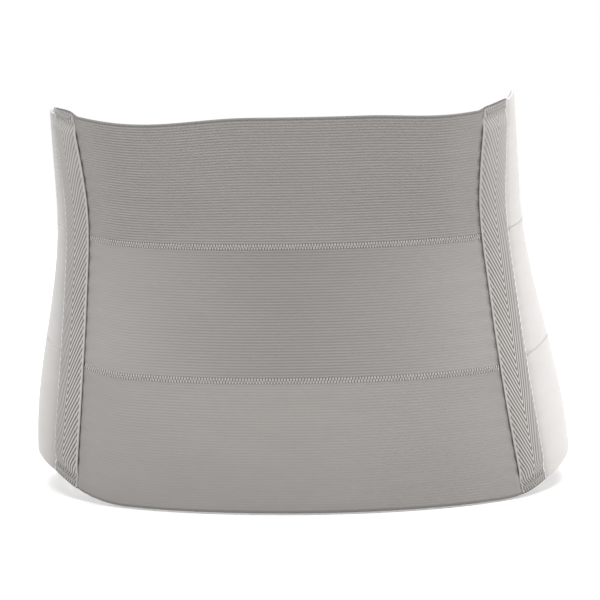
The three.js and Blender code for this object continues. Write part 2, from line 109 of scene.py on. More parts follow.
OVERLAP_LIFT_START, OVERLAP_LIFT_END = 92.0, 12.0
PANEL_TAPER_SHARE = 0.75
BINDING_WRAP, BINDING_THICKNESS = 7.0, 0.7
GAP, SWING_GAP, CLOSURE_GAP = 0.3, 0.5, 0.6

BAND_INNER = LINING_THICKNESS + GAP
BAND_OUTER = BAND_INNER + BAND_THICKNESS
PAD_INNER = BAND_INNER + PANEL_THICKNESS + GAP
HOOK_INNER = PAD_INNER + PAD_THICKNESS + CLOSURE_GAP
TAB_INNER = HOOK_INNER + HOOK_THICKNESS + GAP
TAB_OUTER = TAB_INNER + PANEL_THICKNESS

# ---- fabric detail ----

JOIN_GAP = 0.06  # between the butted edges of two pieces
TUCKED_WIDTH = 2.0  # the bands run on this far under the tape
RIBS_PER_BAND, STEPS_PER_RIB = 46, 6
RIB_PITCH = BAND_HEIGHT / RIBS_PER_BAND
BACK_RIB_DEPTH = {"lower": 0.06, "middle": 0.07, "upper": 0.14}
SIDE_RIB_DEPTH = 0.06
WEAVE_PITCH = 1.05
TAUT_END = 6.0  # a band is taut at both ends, where its ribs hardly show
TAUT_FADE = {"lower": 85.0, "middle": 85.0, "upper": 32.0}
PUCKER_HEIGHT, PUCKER_REACH, PUCKER_PITCH = 0.22, 8.0, 9.5
TUCK_REACH, TUCK_DEPTH, TUCK_SHADE = 1.1, 0.9, 0.15  # where the tape presses a band down, and the painted shade there
TAPE_SHADE = {"back": 0.2, "left": 0.45, "right": 0.14}  # painted shade on the fabric right beside the tape
TAPE_SHADE_REACH = {"back": 5.0, "left": 20.0, "right": 9.0}
WING_DIP = {"back": 0.0, "left": 7.5, "right": 2.0}  # the fabric behind each tape starts this much lower
SEAMS = ((1, "lower"), (2, "upper"))  # number of the band above each seam, and the seam's name
ZIGZAG_PITCH, THREAD_BOW = 1.75, 0.2
BACK_SEAM_INSET, SIDE_SEAM_INSET = 1.0, 3.0  # a seam stops this far short of its bands' ends
TWILL_PITCH, TWILL_STEEPNESS, TWILL_DEPTH = 4.5, 2.15, 0.09  # of the chevrons of the tape
TAUT_TAPE_START = 110.0  # the chevrons weaken above this height
SELVAGE_WIDTH = 0.9
TAPE_EDGE_LIFT, TAPE_RISE, TAPE_CAP_RISE = 1.3, 0.85, 0.6
CAP_CLEARED, CAP_SLOPE = 46.0, 14.0  # the tape is high this far from its ends, and then comes down
CORNER_DROP, CORNER_LENGTH = {"left": 3.0, "right": 1.0}, 10.0  # the tape's top outer corner is folded down
FOLD_LENGTH = 7.0
STITCH_PITCH, STITCH_LENGTH, STITCH_INSET = 3.0, 2.2, 2.1
TACK_STROKES, TACK_LIFT = 44, 0.75
OVERLOCK_PITCH = 1.8


def lerp(a, b, t):
    return a + (b - a) * t


def smoothstep(x, low, high):
    t = np.clip((x - low) / (high - low), 0, 1)
    return t * t * (3 - 2 * t)


def walked_length(points):
    """Distance along a line of points, from 0 at its first."""
    return np.concatenate([[0], np.cumsum(np.linalg.norm(np.diff(points, axis=0), axis=1))])


# ---- body surface ----

def hip_share(z):
    return 1 - smoothstep(z, HIP_HEIGHT, WAIST_HEIGHT)


def half_width(z):
    return lerp(WAIST_HALF_WIDTH, HIP_HALF_WIDTH, hip_share(z))


def depth_of(z, front):
    back = lerp(WAIST_BACK_DEPTH, HIP_BACK_DEPTH, hip_share(z))
    return np.where(front, lerp(WAIST_FRONT_DEPTH, HIP_FRONT_DEPTH, hip_share(z)), back)


TABLE_HEIGHTS = np.arange(-6.0, 248.0, 2.0)
TABLE_SHARES = np.linspace(0, 1, 1201)


def outline_table():
    """Half outlines at every table height, in even steps of girth: x, y and the half girth."""
    angle = np.linspace(-math.pi / 2, math.pi / 2, 4001)
    front = angle > 0
    power = np.where(front, 2 / FRONT_SQUARENESS, 2 / BACK_SQUARENESS)
    unit_x = np.maximum(np.cos(angle), 0) ** power
    unit_y = np.sign(angle) * np.abs(np.sin(angle)) ** power
    xs, ys, halves = [], [], []
    for z in TABLE_HEIGHTS:
        x = half_width(z) * unit_x
        y = depth_of(z, front) * unit_y
        walked = walked_length(np.stack([x, y], -1))
        even = TABLE_SHARES * walked[-1]
        xs.append(np.interp(even, walked, x))
        ys.append(np.interp(even, walked, y))
        halves.append(walked[-1])
    return np.array(xs), np.array(ys), np.array(halves)


OUTLINE_X, OUTLINE_Y, HALF_GIRTHS = outline_table()


def half_girth(z):
    return np.interp(z, TABLE_HEIGHTS, HALF_GIRTHS)


def body_point(girth, z):
    """x, y on the body (before its lean) and the outward direction there."""
    half = half_girth(z)
    over_front = np.abs(girth) > half
    distance = np.where(over_front, 2 * half - np.abs(girth), np.abs(girth))
    side = np.where(girth < 0, -1.0, 1.0) * np.where(over_front, -1.0, 1.0)
    column = np.clip(distance / half, 0, 1) * (len(TABLE_SHARES) - 1)
    row = (z - TABLE_HEIGHTS[0]) / (TABLE_HEIGHTS[1] - TABLE_HEIGHTS[0])
    c = np.clip(column.astype(int), 0, len(TABLE_SHARES) - 2)
    r = np.clip(row.astype(int), 0, len(TABLE_HEIGHTS) - 2)
    along, up = column - c, row - r

    def read(table):
        low = lerp(table[r, c], table[r, c + 1], along)
        high = lerp(table[r + 1, c], table[r + 1, c + 1], along)
        return lerp(low, high, up)

    x, y = read(OUTLINE_X), read(OUTLINE_Y)
    front = y > 0
    power = np.where(front, FRONT_SQUARENESS, BACK_SQUARENESS) - 1
    width, depth = half_width(z), depth_of(z, front)
    nx = (np.abs(x) / width) ** power / width
    ny = np.sign(y) * (np.abs(y) / depth) ** power / depth
    length = np.hypot(nx, ny)
    return side * x, y, side * nx / length, ny / length


def drape(x, y, z):
    """Gentle unevenness of worn fabric, the same for every layer at a place on the body."""
    broad = 0.45 * np.sin(x / 31 + y / 47 + 1.1) * np.sin(z / 43 + 0.6)
    fine = 0.2 * np.sin(x / 17 - y / 23 + z / 29 + 2.0)
    return broad + fine


def skin(girth, z, lift):
    """The points in the row frame, in metres, at a place in belt space."""
    girth, z, lift = np.broadcast_arrays(*(np.asarray(a, float) for a in (girth, z, lift)))
    x, y, nx, ny = body_point(girth, z)
    out = lift + drape(x, y, z)
    points = np.stack([x + nx * out - LEAN * z / BELT_HEIGHT, y + ny * out, z], -1)
    return points * MM


# ---- edges of the belt ----

EDGE_SAMPLES = 61
ABOVE_EDGE = 10.0  # the back panel's edge runs straight on this far above its last point


def catmull_rom(values, samples):
    """Even samples along a Catmull-Rom spline through the values."""
    padded = np.concatenate([values[:1], values, values[-1:]])
    t = np.linspace(0, len(values) - 1, samples)
    i = np.minimum(t.astype(int), len(values) - 2)
    w = t - i
    p0, p1, p2, p3 = (padded[i + k] for k in range(4))
    v0, v1 = (p2 - p0) / 2, (p3 - p1) / 2
    return (2 * p1 - 2 * p2 + v0 + v1) * w**3 + (3 * p2 - 3 * p1 - 2 * v0 - v1) * w**2 + v0 * w + p1


def panel_edge_x():
    """x of the back panel's edge at every table height."""
    z = catmull_rom(PANEL_EDGE_HEIGHTS, EDGE_SAMPLES)
    x = catmull_rom(PANEL_EDGE_WIDTHS, EDGE_SAMPLES)
    slope = (x[-1] - x[-2]) / (z[-1] - z[-2])
    z = np.append(z, z[-1] + ABOVE_EDGE)
    x = np.append(x, x[-1] + ABOVE_EDGE * slope)
    return np.interp(TABLE_HEIGHTS, z, x)


def girths_at_x(wanted, front):
    """The girth at every table height where the outline reaches the wanted x."""
    found = []
    for x, outline, half in zip(wanted, OUTLINE_X, HALF_GIRTHS):
        turn = int(np.argmax(outline))
        span = slice(None, turn - 1, -1) if front else slice(turn + 1)
        found.append(np.interp(x, outline[span], TABLE_SHARES[span]) * half)
    return np.array(found)


BACK_EDGE_GIRTHS = girths_at_x(panel_edge_x(), False)
FRONT_SEAM_GIRTHS = girths_at_x(np.full(len(TABLE_HEIGHTS), FRONT_SEAM_X), True)


def back_edge(z):
    return np.interp(z, TABLE_HEIGHTS, BACK_EDGE_GIRTHS)


def tape_girth(z, from_inner):
    """The girth so many mm out from the inner edge of the right tape."""
    return back_edge(z) + GAP + from_inner


def front_seam_girth(z):
    return np.interp(z, TABLE_HEIGHTS, FRONT_SEAM_GIRTHS)


def by_side(values, girth):
    return np.where(np.asarray(girth) < 0, values["left"], values["right"])


def bottom_edge(girth):
    start = by_side(SIDE_RISE_START, girth)
    share = np.clip((np.abs(girth) - start) / (FRONT_SEAM - start), 0, 1)
    return by_side(SIDE_RISE, girth) * np.sin(share * math.pi) ** 2


def tapered_top(girth):
    return BELT_HEIGHT - FRONT_DROP * smoothstep(np.abs(girth), FRONT_DROP_START, FRONT_SEAM)


def back_dip(girth):
    from_dip = np.abs(np.abs(girth) - by_side(BACK_DIP_GIRTH, girth))
    away = np.minimum(from_dip / by_side(BACK_DIP_REACH, girth), 1)
    dip = lerp(BACK_DIP["middle"], by_side(BACK_DIP, girth), np.cos(away * math.pi / 2) ** 2)
    return dip * (1 - smoothstep(np.abs(girth), CASING_START - 4, CASING_START + 4))


def top_edge(girth):
    away = np.abs(girth)
    casing = CASING_RISE * smoothstep(away, CASING_START, CASING_END)
    flank = by_side(FLANK_RISE, girth) * smoothstep(away, CASING_END, FLANK)
    fade = 1 - smoothstep(away, FLANK, FRONT_SEAM)
    return tapered_top(girth) + (casing + flank) * fade - back_dip(girth)


def band_line(girth, level):
    """Height of the line below a band, or of the top edge, at a girth of the belt's middle height."""
    if level == len(LEVELS):
        return top_edge(girth)
    return lerp(bottom_edge(girth), tapered_top(girth), level / len(LEVELS))


# ---- meshes ----

def add_mesh(name, points, quads, grain, painted_shade=0.0, fans=()):
    """A smooth mesh object of quads and of the fans that close its ends. grain is the place of each point on
    its own cloth, in mm. The shade painted on the mesh, from 0 to 1, is stored for the materials as well."""
    mesh = bpy.data.meshes.new(name)
    corners = np.concatenate([quads.ravel(), *fans])
    fan_starts = quads.size + np.cumsum([0, *map(len, fans)])[:-1]
    starts = np.concatenate([np.arange(0, quads.size, 4), fan_starts])
    mesh.vertices.add(len(points))
    mesh.vertices.foreach_set("co", np.asarray(points, np.float32).ravel())
    mesh.loops.add(len(corners))
    mesh.loops.foreach_set("vertex_index", corners.astype(np.int32))
    mesh.polygons.add(len(starts))
    mesh.polygons.foreach_set("loop_start", starts.astype(np.int32))
    mesh.update(calc_edges=True)
    mesh.validate()
    mesh.shade_smooth()
    layer = mesh.attributes.new("grain", "FLOAT_VECTOR", "POINT")
    layer.data.foreach_set("vector", np.asarray(grain, np.float32).ravel())
    layer = mesh.attributes.new("painted_shade", "FLOAT", "POINT")
    layer.data.foreach_set("value", np.full(len(points), painted_shade, np.float32))
    obj = bpy.data.objects.new(name, mesh)
    bpy.context.scene.collection.objects.link(obj)
    return obj


def grid_quads(index):
    """Quads of a grid of point numbers, facing +lift when girth runs along its rows."""
    corners = [index[..., :-1, :-1], index[..., :-1, 1:], index[..., 1:, 1:], index[..., 1:, :-1]]
    return np.stack(corners, -1).reshape(-1, 4)


def ring_quads(rings):
    """Quads round rings of point numbers, from ring to ring."""
    return grid_quads(np.concatenate([rings, rings[..., :1]], -1))


def closed_sheet_quads(outer):
    """Quads of two facing grids, numbered one after the other, and of their rim."""
    inner = outer + outer.size
    rim = np.concatenate([outer[0, :], outer[1:, -1], outer[-1, -2::-1], outer[-2::-1, 0]])
    sides = grid_quads(np.stack([rim + outer.size, rim]))
    return np.concatenate([grid_quads(outer), grid_quads(inner)[:, ::-1], sides])


EDGE_STEPS = np.array([0, 0.12, 0.4, 0.8, 1.3, 1.9])  # in from an edge, to round it
EDGE_INSET, EDGE_SHARE = 2.5, 0.12  # where even steps start, and the share of thickness at an edge


def edged_steps(length, spacing):
    """Positions from 0 to length about a spacing apart, closer near both ends."""
    count = max(2, round((length - 2 * EDGE_INSET) / spacing) + 1)
    middle = np.linspace(EDGE_INSET, length - EDGE_INSET, count)
    return np.concatenate([EDGE_STEPS, middle, length - EDGE_STEPS[::-1]])


def cloth_grid(width, height, spacing):
    """Distances across and up at the points of a cloth."""
    return np.meshgrid(edged_steps(width, spacing), edged_steps(height, spacing))


def rolled(distance, radius):
    """Share of the full thickness at a distance in from an edge rounded to the radius."""
    t = np.clip(distance / radius, 0, 1)
    return lerp(EDGE_SHARE, 1, np.sqrt(1 - (1 - t) ** 2))


def cloth(name, place, lifts, across, up, painted_shade=0.0, radius=BAND_THICKNESS / 2):
    """A closed cloth sheet with rounded edges. place is the girth and height of its points, and lifts is the
    lift of its inner and outer face. across and up are distances in mm from two of its edges."""
    girth, z = place
    inner, outer = lifts
    from_end = np.minimum(up, up.max() - up)
    from_edge = np.minimum(np.minimum(across, across.max() - across), from_end)
    middle = (outer + inner) / 2
    half = (outer - inner) / 2 * rolled(from_edge, radius)
    points = np.stack([skin(girth, z, middle + half), skin(girth, z, middle - half)])
    grain = np.tile(np.stack([across, up, from_end], -1).reshape(-1, 3), (2, 1))
    painted_shade = np.tile(np.broadcast_to(painted_shade, girth.shape).ravel(), 2)
    quads = closed_sheet_quads(np.arange(girth.size).reshape(girth.shape))
    return add_mesh(name, points.reshape(-1, 3), quads, grain, painted_shade)


def belt_paths(girth, z, lift):
    """Paths in belt space, an array of thread x step x (girth, height, lift)."""
    return np.stack(np.broadcast_arrays(girth, z, lift), -1)


THREAD_TIP = 0.3  # a thread's end is this share of its radius


def threads(name, paths, radius, sides=6, flatten=0.8):
    """Closed threads along paths in belt space, a little flattened against the cloth."""
    count, steps, _ = paths.shape
    tangent = np.gradient(paths, axis=1)
    tangent /= np.linalg.norm(tangent, axis=2, keepdims=True)
    sideways = np.cross(tangent, [0.0, 0.0, 1.0])
    sideways /= np.maximum(np.linalg.norm(sideways, axis=2, keepdims=True), 1e-6)
    upward = flatten * np.cross(sideways, tangent)
    angle = -np.arange(sides)[:, None] * TAU / sides
    ring = np.cos(angle) * sideways[:, :, None] + np.sin(angle) * upward[:, :, None]
    size = np.full(steps, radius)
    size[[0, -1]] = radius * THREAD_TIP
    points = (paths[:, :, None] + size[:, None, None] * ring).reshape(-1, 3)
    index = np.arange(len(points)).reshape(count, steps, sides)
    ends = [*index[:, 0, ::-1], *index[:, -1]]
    return add_mesh(name, skin(*points.T), ring_quads(index), points, fans=ends)


# ---- node materials ----

PAINTED_SHADE_TONE = 0.25  # share of the colour left where the painted shade is full


class Shader:
    """Builds one material out of nodes. Heights and sizes are in mm of cloth."""

    def __init__(self, name, roughness=0.85, sheen=0.0, metallic=0.0):
        self.material = bpy.data.materials.new(name)
        self.material.use_nodes = True
        self.tree = self.material.node_tree
        self.tree.nodes.clear()
        self.surface = self.add("ShaderNodeBsdfPrincipled", {
            "Roughness": roughness, "Metallic": metallic, "Specular IOR Level": 0.25,
            "Sheen Weight": sheen, "Sheen Roughness": 0.5})
        self.add("ShaderNodeOutputMaterial", {0: self.surface.outputs[0]})
        self.grain = self.add("ShaderNodeAttribute", attribute_name="grain").outputs["Vector"]
        self.painted_shade = self.add("ShaderNodeAttribute", attribute_name="painted_shade").outputs["Fac"]
        split = self.add("ShaderNodeSeparateXYZ", {0: self.grain})
        self.across, self.up, self.from_end = split.outputs

    def add(self, kind, inputs=None, **settings):
        node = self.tree.nodes.new(kind)
        for key, value in settings.items():
            setattr(node, key, value)
        for key, value in (inputs or {}).items():
            self.feed(node.inputs[key], value)
        return node

    def feed(self, socket, value):
        if isinstance(value, bpy.types.NodeSocket):
            self.tree.links.new(value, socket)
        else:
            socket.default_value = value

    def math(self, operation, a, b=0.0, c=0.0, clamp=False):
        inputs = {0: a, 1: b, 2: c}
        return self.add("ShaderNodeMath", inputs, operation=operation, use_clamp=clamp).outputs[0]

    def plus(self, a, b):
        return self.math("ADD", a, b)

    def minus(self, a, b):
        return self.math("SUBTRACT", a, b)

    def times(self, a, b):
        return self.math("MULTIPLY", a, b)

    def wave(self, place, pitch, phase=0.0):
        """0 to 1 and back once every pitch."""
        turn = self.math("MULTIPLY_ADD", place, TAU / pitch, phase)
        return self.math("MULTIPLY_ADD", self.math("COSINE", turn), 0.5, 0.5)

    def ramp(self, value, low, high):
        """0 at low, 1 at high, level beyond."""
        inputs = {0: value, 1: low, 2: high}
        return self.add("ShaderNodeMapRange", inputs, interpolation_type="SMOOTHSTEP").outputs[0]

    def noise(self, size, detail=2.0, stretch=(1, 1, 1), vector=None):
        """Soft noise from 0 to 1 with features of about that many mm."""
        place = self.add("ShaderNodeVectorMath", {0: vector or self.grain, 1: stretch}, operation="MULTIPLY")
        inputs = {"Vector": place.outputs[0], "Scale": 1 / size, "Detail": detail}
        return self.add("ShaderNodeTexNoise", inputs).outputs[0]

    def colour(self, low, high, share):
        return self.add("ShaderNodeMix", {0: share, 6: low, 7: high}, data_type="RGBA").outputs[2]

    def between(self, low, high, share):
        return self.add("ShaderNodeMix", {0: share, 2: low, 3: high}, data_type="FLOAT").outputs[0]

    def tint(self, colour, factor):
        """The colour times a grey factor."""
        vector = colour[:3] if isinstance(colour, tuple) else colour
        return self.add("ShaderNodeVectorMath", {0: vector, 3: factor}, operation="SCALE").outputs[0]

    def finish(self, colour, height=None, roughness=None):
        """Connects the surface. Colour darkens where shade is painted."""
        shaded = self.tint(colour, self.between(1.0, PAINTED_SHADE_TONE, self.painted_shade))
        self.feed(self.surface.inputs["Base Color"], shaded)
        if roughness is not None:
            self.feed(self.surface.inputs["Roughness"], roughness)
        if height is not None:
            bump = self.add("ShaderNodeBump", {"Strength": 1.0, "Distance": MM, "Height": height})
            self.feed(self.surface.inputs["Normal"], bump.outputs[0])
        return self.material


def grey(red, green, blue):
    """A linear colour from display values of 0 to 255."""
    return tuple(((v / 255 + 0.055) / 1.055) ** 2.4 for v in (red, green, blue)) + (1.0,)


YARN_CONTRAST, FLECK_CONTRAST = 0.45, 0.55  # the yarn's is a share of the ribs'
TAUT_RIB, TAUT_RIB_SHARE = 0.6, 0.2  # the even level that ribs fade to, and how much of them is left
# the base lightness of a band, and the depth of the painted shade in the middle of its width
BASE_LIGHTNESS, MIDDLE_SHADE_DEPTH = 0.4, 0.45
YARN_BUMP, FLECK_BUMP = 0.09, 0.06


def elastic_material(name, valley, crest, contrast, width, fade, fuzz=0.15, groove=0.32, middle_shade=0.0):
    """Ribbed elastic webbing: rubber cores run in the ribs, and a fine yarn wraps them. The ribs show least
    at the taut ends of the band's width, and most where it is loose, half way along. Shade is painted over
    the middle of the width, deepest in the rib valleys, and in the join under a seam by the share groove."""
    s = Shader(name, roughness=0.9, sheen=fuzz)
    rib = s.wave(s.up, RIB_PITCH, phase=math.pi)
    rib_number = s.math("FLOOR", s.math("DIVIDE", s.up, RIB_PITCH))
    yarn = s.wave(s.plus(s.across, s.times(rib_number, WEAVE_PITCH / 2)), WEAVE_PITCH)
    cell = s.times(yarn, rib)
    fleck = s.noise(0.5, detail=3.0, stretch=(0.5, 1, 1))
    patch = s.noise(1.0, stretch=(0.02, 0.06, 0.05))
    off_middle = s.math("ABSOLUTE", s.minus(s.across, width / 2))
    from_side = s.minus(width / 2, off_middle)
    rib_share = s.between(TAUT_RIB_SHARE, 1.0, s.ramp(from_side, TAUT_END, fade))
    lightness = s.times(s.between(TAUT_RIB, rib, rib_share), contrast)
    lightness = s.plus(lightness, s.times(cell, contrast * YARN_CONTRAST))
    lightness = s.plus(lightness, s.times(s.minus(fleck, 0.5), FLECK_CONTRAST))
    lightness = s.math("ADD", lightness, (1 - contrast) * BASE_LIGHTNESS, clamp=True)
    tone = s.tint(s.colour(valley, crest, lightness), s.between(0.95, 1.05, patch))
    # Painted shade: darker over the middle of the band's width, darker still in the rib valleys there.
    loose = s.minus(1.0, s.ramp(off_middle, 0.0, width / 2))
    valley_shade = s.times(s.minus(1.0, rib), s.times(loose, middle_shade))
    tone = s.tint(tone, s.minus(s.between(1.0, 1 - middle_shade * MIDDLE_SHADE_DEPTH, loose), valley_shade))
    # Painted shade in the join under the zigzag seam, by the share groove.
    under_seam = s.minus(1.0, s.ramp(s.from_end, SEAM_HEIGHT / 2 - 0.5, SEAM_HEIGHT / 2 + 0.4))
    tone = s.tint(tone, s.between(1.0, 1 - groove, under_seam))
    height = s.plus(s.times(cell, YARN_BUMP), s.times(fleck, FLECK_BUMP))
    return s.finish(tone, height, s.between(0.98, 0.8, rib))


TAUT_TWILL, SELVAGE_TWILL = 0.7, 0.88  # even levels where the chevrons fade, and on the selvages
TWILL_YARN_PITCH, TWILL_YARN_SHARE = 1.5, 0.05


def twill_material(name, dark, light, width, steepness, pitch, rim=0.0, taut=0.0):
    """Herringbone cotton tape, its chevrons pointing down. Its far edge has a painted highlight, paler by
    the share rim, and its chevrons are weaker by the share taut at its top end."""
    s = Shader(name, roughness=0.9, sheen=0.15)
    from_middle = s.math("ABSOLUTE", s.minus(s.across, width / 2))
    ridge = s.wave(s.minus(s.up, s.times(from_middle, steepness)), pitch)
    along_ridge = s.plus(s.times(s.up, steepness), from_middle)
    yarn = s.wave(along_ridge, TWILL_YARN_PITCH)
    fleck = s.noise(0.4, detail=3.0)
    selvage_start = width / 2 - SELVAGE_WIDTH
    selvage = s.ramp(from_middle, selvage_start - 0.3, selvage_start + 0.3)
    twill = s.plus(s.times(ridge, 1 - TWILL_YARN_SHARE), s.times(yarn, TWILL_YARN_SHARE))
    twill = s.math("ADD", twill, s.times(s.minus(fleck, 0.5), 0.2), clamp=True)
    twill = s.between(twill, TAUT_TWILL, s.times(s.ramp(s.up, TAUT_TAPE_START, BELT_HEIGHT), taut))
    twill = s.between(twill, SELVAGE_TWILL, selvage)
    tone = s.tint(s.colour(dark, light, twill), s.between(0.94, 1.06, s.noise(14, detail=1.0)))
    # Painted highlight along the far edge.
    tone = s.tint(tone, s.between(1.0, 1 + rim, s.ramp(s.across, width - 1.4, width - 0.8)))
    return s.finish(tone, s.times(s.plus(yarn, fleck), 0.03))


def thread_material(name, colour):
    """Twisted sewing thread."""
    s = Shader(name, roughness=0.6, sheen=0.3)
    twist = s.wave(s.plus(s.across, s.times(s.up, 0.6)), 0.45)
    tone = s.tint(colour, s.between(0.86, 1.08, s.times(twist, s.noise(1.2))))
    return s.finish(tone, s.times(twist, 0.05))


def velour_material(name, dark, light):
    """Brushed velour: short nap that lies in soft patches."""
    s = Shader(name, roughness=1.0, sheen=0.5)
    nap = s.noise(7, detail=3.0, stretch=(1, 0.6, 1))
    fuzz = s.noise(0.45, detail=4.0)
    share = s.plus(s.times(nap, 0.35), s.times(fuzz, 0.65))
    height = s.plus(s.times(fuzz, 0.14), s.times(nap, 0.1))
    return s.finish(s.colour(dark, light, s.ramp(share, 0.25, 0.8)), height)


def pile_material(name, dark, light):
    """Loop pile: small tangled loops."""
    s = Shader(name, roughness=1.0, sheen=0.35)
    loops = s.add("ShaderNodeTexVoronoi", {"Vector": s.grain, "Scale": 1.1}).outputs[0]
    tangle = s.noise(0.7, detail=4.0)
    share = s.math("SUBTRACT", s.plus(tangle, 0.3), s.times(loops, 0.5), clamp=True)
    return s.finish(s.colour(dark, light, share), s.times(s.minus(tangle, loops), 0.3))


def hard_material(name, colour, roughness, tones, speck, stain_size, relief, metallic=0.0):
    """Plastic or metal with specks or scratches and stains, laid out in metres of the object. roughness and
    tones are lowest and highest values."""
    s = Shader(name, metallic=metallic)
    place = s.add("ShaderNodeTexCoord").outputs["Object"]
    speck = s.noise(vector=place, **speck)
    tone = s.tint(colour, s.between(*tones, s.noise(stain_size, vector=place)))
    return s.finish(tone, s.times(speck, relief), s.between(*roughness, speck))


BACK_LOOKS = {  # valley, crest, contrast, width that the fade is laid out on, painted shade in the middle
    "lower": (grey(142, 138, 135), grey(156, 152, 149), 0.22, 285, 0.0),
    "middle": (grey(147, 143, 140), grey(161, 157, 154), 0.22, 275, 0.22),
    "upper": (grey(128, 125, 122), grey(159, 155, 152), 0.55, 260, 0.0),
}
BACK_ELASTIC = {
    name: elastic_material(f"elastic_{name}", *look[:4], TAUT_FADE[name], middle_shade=look[4])
    for name, look in BACK_LOOKS.items()}
# The side bands are the same grey elastic as the back, painted lighter for the strong side light on them.
SIDE_ELASTIC_PAINTED_LIGHTER = elastic_material(
    "elastic_side", grey(188, 185, 182), grey(202, 199, 196), 0.3, 150, fade=40.0, fuzz=0.3, groove=0.0)
THREAD = {
    "seam": thread_material("seam_thread", grey(202, 199, 195)),
    "tape": thread_material("tape_thread", grey(176, 173, 169)),
    # The side thread is painted lighter, like the side bands.
    "side": thread_material("side_thread", grey(214, 211, 208)),
    "tack": thread_material("tack_thread", grey(168, 166, 164)),
}
HERRINGBONE = twill_material(
    "herringbone_tape", grey(86, 83, 80), grey(192, 189, 185), TAPE_WIDTH, TWILL_STEEPNESS, TWILL_PITCH,
    rim=0.65, taut=0.55)
JOIN_TWILL = twill_material(
    "join_tape", grey(130, 127, 124), grey(196, 193, 189), JOIN_TAPE_WIDTH, TWILL_STEEPNESS, pitch=3.0)
BINDING_TWILL = twill_material(
    "binding_tape", grey(136, 133, 130), grey(186, 183, 179), width=60.0, steepness=0.6, pitch=1.6)
LINING_CLOTH = velour_material("casing_lining", grey(128, 125, 122), grey(160, 157, 154))
VELOUR = velour_material("velour", grey(172, 169, 166), grey(192, 189, 186))
LOOP_PILE = pile_material("loop_pile", grey(104, 102, 100), grey(166, 163, 160))
MATT = {"tones": (0.85, 1.15), "speck": {"size": 0.0006, "detail": 3.0}, "stain_size": 0.01, "relief": 0.03}
DRAWN = {"tones": (0.82, 1.05), "speck": {"size": 0.0004, "stretch": (1, 1, 0.02)}, "stain_size": 0.02,
         "relief": 0.01, "metallic": 1.0}
HOOK_PLASTIC = hard_material("hook_plastic", grey(120, 119, 120), (0.47, 0.67), **MATT)
CAP_PLASTIC = hard_material("cap_plastic", grey(60, 62, 66), (0.52, 0.72), **MATT)
STAY_STEEL = hard_material("spring_steel", grey(190, 192, 196), (0.28, 0.5), **DRAWN)


def set_material(obj, material):
    obj.data.materials.clear()
    obj.data.materials.append(material)


def dress(obj, material, on, replaces=()):
    """Gives a piece its material in one slot and hides the CAD nodes that it replaces. It fixes the piece on
    a body, or, when given a bend instead, only bakes it where it lies.
    """
    set_material(obj, material)
    if replaces:
        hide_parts(*replaces)
    if isinstance(on, str):
        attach(obj, on)
    else:
        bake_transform(obj)


# ---- where the fabric bends ----

SIDE_BEND_REACH, FRONT_BEND_REACH, TAB_BEND_REACH = 45.0, 32.0, 14.0


def bend(joint_name, girth, reach, direction):
    """The two bodies of a joint, and the stretch of fabric past its axis over which it bends."""
    joint = next(j for j in frame["joints"] if j["name"] == joint_name)
    axis = np.array(joint["axis"])
    start = np.array(joint["pos_m"])
    ahead = skin(girth + direction, MIDDLE, 0) - skin(girth, MIDDLE, 0)
    ahead -= axis * (ahead @ axis)
    ahead /= np.linalg.norm(ahead)
    return joint["parent"], joint["child"], tuple(start), tuple(start + ahead * reach * MM)


# ---- elastic bands ----

def distance_to_tape(girth, z):
    """Distance from the nearer edge of the tape, 0 under it."""
    from_inner = np.abs(girth) - tape_girth(z, 0)
    return np.maximum(np.maximum(-from_inner, from_inner - TAPE_WIDTH), 0)


def pucker(girth, z):
    """Lift of the small gathers where a band is caught under the tape's stitches."""
    fade = np.exp(-distance_to_tape(girth, z) / PUCKER_REACH)
    return PUCKER_HEIGHT * fade * np.sin(TAU * z / PUCKER_PITCH + 0.8 * np.sin(z / 17))


def band_heights():
    """Heights of the rows of points on a band, closer at its two edges."""
    ribs = np.arange(1, RIBS_PER_BAND * STEPS_PER_RIB) * RIB_PITCH / STEPS_PER_RIB
    edge = np.array([0, 0.1, 0.35, 0.65])
    inside = ribs[(ribs > 0.8) & (ribs < BAND_HEIGHT - 0.8)]
    return np.concatenate([edge, inside, BAND_HEIGHT - edge[::-1]])


def back_span(inset):
    """Where the back panel starts and ends, less an inset, as a function of height."""
    return lambda z: (inset - back_edge(z), back_edge(z) - inset)


def side_span(side, inset):
    """The same for a side's bands, which are tucked under the tape."""
    def span(z):
        near = tape_girth(z, TAPE_WIDTH - TUCKED_WIDTH) + inset
        far = front_seam_girth(z) - JOIN_GAP / 2 - inset
        return (near, far) if side > 0 else (-far, -near)

    return span


